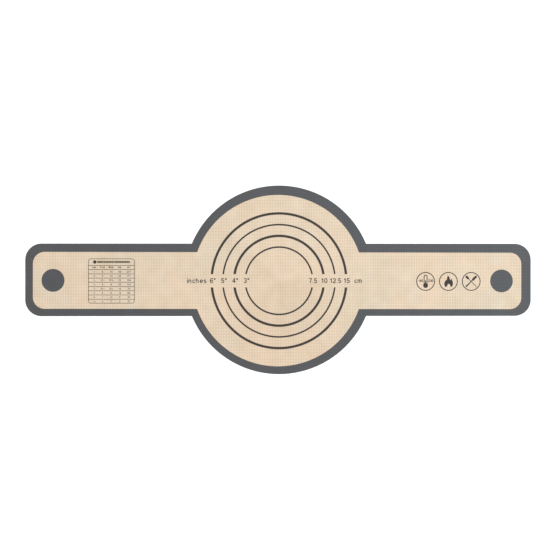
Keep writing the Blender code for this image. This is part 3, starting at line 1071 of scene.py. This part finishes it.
class SLING_OT_measure_table(bpy.types.Operator):
    """Prints the measure table: a round-cornered frame, its rules, and what each share of a cup holds"""

    bl_idname = "sling.measure_table"
    bl_label = "Print Measure Table"

    def execute(self, context):
        sheet, ink = settings(context)
        (node,) = nodes_of("left_riser", "measure_table")
        centre = middle_of(node) + np.array(ink.table_shift)
        half = half_of(node)
        top_rule = centre[1] + half[1] - TABLE_TITLE
        rules = np.linspace(top_rule, centre[1] - half[1], len(CUP_SHARES) + 2)[:-1]
        table = Table(centre, half, rules)
        piece = make_print("table_frame", self.frame(table, sheet, ink), "left_riser", context)
        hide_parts(node)
        make_print("table_numbers", self.numbers(table, sheet, ink), "left_riser", context)
        make_print("table_title_marks", self.title_marks(table, sheet, ink), "left_riser", context)
        return {"FINISHED"}

    @staticmethod
    def along(table, share):
        """The place along x at a share of the table's length."""
        return table.centre[0] + table.half[0] * (share * 2 - 1)

    @staticmethod
    def frame(table, sheet, ink):
        """The round-cornered outline, and a rule over each row."""
        width = ink.table_line
        step = column_step(sheet)
        inner = table.half - width / 2
        outline = round_rectangle(table.centre, inner, TABLE_CORNER - width / 2, step)
        films = [line(outline, width, sheet, ink, closed=True)]
        left, right = table.centre[0] - inner[0], table.centre[0] + inner[0]
        for y in table.rules:
            rule = np.linspace((left, y), (right, y), round(table.half[0] * 2 / step))
            films.append(line(rule, width, sheet, ink, lift=-LAYER))
        return films

    def numbers(self, table, sheet, ink):
        """A heading to each column, and under it what each share of a cup holds."""
        columns = [self.along(table, share) for share in TABLE_COLUMNS]
        middles = table.rules - (table.rules[0] - table.rules[1]) / 2
        height = ink.table_digit_height
        headings = [
            Label(unit, x, middles[0] + HEADING_RISE, height, HEADING_SPACING)
            for x, unit in zip(columns, TABLE_UNITS)]
        labels = []
        for cup, y in zip(CUP_SHARES, middles[1:]):
            millilitres = fractions.Fraction(round(cup * MILLILITRES_PER_CUP))
            amounts = [cup, *(cup * per_cup for per_cup in SPOONS_PER_CUP), millilitres]
            for amount, x in zip(amounts, columns):
                labels += mixed_number(amount, x, y, height)
        return [lettering(headings, sheet, ink, BOLD_STROKE), lettering(labels, sheet, ink)]

    def title_marks(self, table, sheet, ink):
        """A disc, and rows of ruler ticks."""
        middle = table.rules[0] + TABLE_TITLE / 2
        dot = (self.along(table, TITLE_DOT_PLACE), middle)
        marks = [disc(dot, TITLE_DOT_RADIUS, column_step(sheet) / 4, sheet, ink)]
        foot = middle - TICK_HEIGHT / 2
        for ruler in TITLE_RULERS:
            start, end = (self.along(table, share) for share in ruler)
            for x in np.linspace(start, end, round((end - start) / TICK_PITCH) + 1):
                tick = np.linspace((x, foot), (x, foot + TICK_HEIGHT), TICK_POINTS)
                marks.append(line(tick, TICK_LINE, sheet, ink))
        return marks


class SLING_OT_badges(bpy.types.Operator):
    """Prints the three round badges: a thermometer, a flame, and a crossed spatula and spoon"""

    bl_idname = "sling.badges"
    bl_label = "Print Badges"

    def execute(self, context):
        sheet, ink = settings(context)
        nodes = sorted(nodes_of("right_riser", "badge_ring"), reverse=True)
        motifs = {"thermometer": self.thermometer, "flame": self.flame, "spatula_and_spoon": self.crossed}
        rings = []
        for node, (name, motif) in zip(nodes, motifs.items()):
            centre = middle_of(node) + np.array(ink.ring_shift)
            radius = half_of(node)[0] - ink.badge_line / 2
            path = arc(centre, radius, 0, math.tau, column_step(sheet) / 2)[:-1]
            rings.append(line(path, ink.badge_line, sheet, ink, closed=True))
            make_print(f"badge_{name}", motif(centre, radius, sheet, ink), "right_riser", context)
        piece = make_print("badge_rings", rings, "right_riser", context)
        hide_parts(*nodes)
        return {"FINISHED"}

    @staticmethod
    def thermometer(centre, radius, sheet, ink):
        """A glass tube drawn as a loop, a filled bulb and column inside it, and a number of its scale on each
        side."""
        step = radius * MOTIF_STEP
        tube = round_rectangle(
            centre + (0, radius * TUBE_RISE), radius * TUBE_HALF, radius * TUBE_CORNER, step)
        foot, head = (centre + (0, radius * end) for end in COLUMN_ENDS)
        column = np.linspace(foot, head, COLUMN_POINTS)
        numbers = [
            Label(text, centre[0] + radius * offset, centre[1] + radius * DEGREES_RISE,
                  radius * DEGREES_HEIGHT, DEGREES_SPACING)
            for text, offset in DEGREES]
        return [
            line(tube, ink.badge_line, sheet, ink, closed=True),
            disc(centre - (0, radius * BULB_DROP), radius * BULB_RADIUS, step, sheet, ink, lift=LAYER),
            line(column, radius * COLUMN_WIDTH, sheet, ink, lift=LAYER * 2),
            lettering(numbers, sheet, ink, BOLD_STROKE),
        ]

    @staticmethod
    def flame(centre, radius, sheet, ink):
        """Four leaning drops: two at the sides that part at the foot, a broad one between them and a tall one
        on it. Half of a drop's width at a share of its height is a power of the share times a power of what
        is left, so it tapers at the foot and is drawn to a tip."""
        share = np.linspace(DROP_TRIM, 1 - DROP_TRIM, DROP_POINTS)
        swell, taper = DROP_POWERS
        films = []
        for order, (offset, foot, tall, wide, lean) in enumerate(FLAME_DROPS):
            half = wide * share ** swell * (1 - share) ** taper
            middle = offset + lean * share ** 2
            y = foot + tall * share
            right, left = (centre + radius * np.stack([middle + sign * half, y], 1) for sign in (1, -1))
            films.append(film(right, left, sheet, ink, lift=LAYER * order))
        return films

    @staticmethod
    def crossed(centre, radius, sheet, ink):
        """A spatula and a spoon on the two diagonals. The spatula narrows evenly along its handle and eases
        out to its blade, and the spoon's bowl adds the width of an ellipse to its handle's."""
        share = np.linspace(0, 1, TOOL_POINTS)
        blade = smooth_step((share - BLADE_START) / BLADE_SHOULDER) * smooth_step((1 - share) / BLADE_TIP)
        spatula = np.interp(share, (0, 1), SPATULA_HANDLE) + SPATULA_BLADE * blade
        bowl = np.clip(1 - ((share - 1 + BOWL_HALF) / BOWL_HALF) ** 2, 0, None)
        spoon = SPOON_HANDLE + SPOON_BOWL * np.sqrt(bowl)
        films = []
        for order, (width, turn) in enumerate(((spatula, math.pi / 4), (spoon, math.pi * 3 / 4))):
            along = np.array((math.cos(turn), math.sin(turn)))
            aside = np.array((-along[1], along[0]))
            axis = centre + radius * TOOL_REACH * (share[:, None] * 2 - 1) * along
            right, left = (axis + sign * radius * width[:, None] * aside for sign in (-1, 1))
            films.append(film(right, left, sheet, ink, lift=LAYER * order))
        return films


class SLING_OT_field(bpy.types.Operator):
    bl_idname = "sling.field"
    bl_label = "Lay Field"

    def execute(self, context):
        sheet, _ = settings(context)
        for panel in panels(sheet):
            columns = stations(*panel_ends(panel), sheet)
            half = half_width(columns, tucked_outline(sheet))
            shape = slab(
                columns, rows_across(sheet), -half, half,
                lambda x, y: field_top(x, y, sheet), lambda x, y: field_under(x, y, sheet))
            piece = make_piece(f"{panel.body}_field", shape, "beige_silicone", context)
            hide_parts(*nodes_of(panel.body, *COATS))
            set_on_panel(piece, panel)
            self.declare(piece, panel, sheet)
        return {"FINISHED"}

    @staticmethod
    def declare(piece, panel, sheet):
        """Does nothing with the piece, the panel or the sheet."""


class SLING_OT_studio(bpy.types.Operator):
    """Sets the worktop, an even light, two soft lamps and a camera above the sheet"""

    bl_idname = "sling.studio"
    bl_label = "Set Studio"

    def execute(self, context):
        studio = context.scene.sling_studio
        self.floor(context, studio)
        world = bpy.data.worlds.new("even_room")
        context.scene.world = world
        world.use_nodes = True
        background = world.node_tree.nodes["Background"]
        background.inputs["Color"].default_value = (1, 1, 1, 1)
        background.inputs["Strength"].default_value = studio.room_light

        self.hang(context, KEY_LAMP, studio.key_power)
        self.hang(context, SHEEN_LAMP, studio.sheen_power)

        camera = bpy.data.cameras.new("overhead_camera")
        sight = Vector((studio.camera_offset, 0, -studio.camera_height))
        camera.lens = camera.sensor_width * sight.length / studio.view_width
        eye = bpy.data.objects.new("overhead_camera", camera)
        context.scene.collection.objects.link(eye)
        eye.location = Vector((*studio.view_centre, THICKNESS)) - sight
        eye.rotation_euler.y = -math.atan2(sight.x, -sight.z)
        context.scene.camera = eye
        context.scene.view_settings.view_transform = "Standard"
        return {"FINISHED"}

    @staticmethod
    def hang(context, lamp, power):
        """Hangs a soft square lamp so that it faces the middle of the sheet."""
        light = bpy.data.lights.new(lamp.name, "AREA")
        light.size = lamp.side
        light.energy = power
        light.color = lamp.colour
        holder = bpy.data.objects.new(lamp.name, light)
        context.scene.collection.objects.link(holder)
        holder.location = lamp.place
        holder.rotation_euler = (-Vector(lamp.place)).to_track_quat("-Z", "Y").to_euler()

    @staticmethod
    def floor(context, studio):
        """A level square worktop of matt white laminate."""
        half = studio.floor_size / 2
        corners = [(-half, -half, 0), (half, -half, 0), (half, half, 0), (-half, half, 0)]
        mesh = bpy.data.meshes.new("worktop")
        mesh.from_pydata(corners, [], [(0, 1, 2, 3)])
        material, tree = new_material("white_worktop")
        place = add_node(tree, "TexCoord").outputs["Object"]
        base = tinted(tree, (*studio.floor_colour, 1), noise(tree, place, WORKTOP_CLOUDS, 2), WORKTOP_TINT, 1)
        set_surface(tree, base, between(tree, noise(tree, place, WORKTOP_GRAIN, 2), *WORKTOP_ROUGHNESS))
        mesh.materials.append(material)
        worktop = bpy.data.objects.new("worktop", mesh)
        context.scene.collection.objects.link(worktop)
        worktop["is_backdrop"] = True


class SLING_PT_panel(bpy.types.Panel):
    """Lists the sling's pieces and sizes"""

    bl_idname = "SLING_PT_panel"
    bl_label = "Bread Sling"
    bl_space_type = "VIEW_3D"
    bl_region_type = "UI"
    bl_category = "Bread Sling"

    def draw(self, context):
        for operator in OPERATORS:
            self.layout.operator(operator.bl_idname)
        for name, (group, heading) in GROUPS.items():
            box = self.layout.box()
            box.label(text=heading)
            for setting in group.__annotations__:
                box.prop(getattr(context.scene, name), setting)


OPERATORS = (
    SLING_OT_border,
    SLING_OT_thumb_dots,
    SLING_OT_rings,
    SLING_OT_scale_numbers,
    SLING_OT_measure_table,
    SLING_OT_badges,
    SLING_OT_field,
    SLING_OT_studio,
)
GROUPS = {
    "sling_sheet": (SheetSettings, "Sheet"),
    "sling_print": (PrintSettings, "Print"),
    "sling_studio": (StudioSettings, "Studio"),
}


def register():
    for name, (group, _) in GROUPS.items():
        bpy.utils.register_class(group)
        setattr(bpy.types.Scene, name, PointerProperty(type=group))
    for kind in (*OPERATORS, SLING_PT_panel):
        bpy.utils.register_class(kind)


def unregister():
    for kind in reversed((*OPERATORS, SLING_PT_panel)):
        bpy.utils.unregister_class(kind)
    for name, (group, _) in GROUPS.items():
        delattr(bpy.types.Scene, name)
        bpy.utils.unregister_class(group)


def main():
    register()
    for operator in OPERATORS:
        group, name = operator.bl_idname.split(".")
        getattr(getattr(bpy.ops, group), name)()


if __name__ == "__main__":
    main()
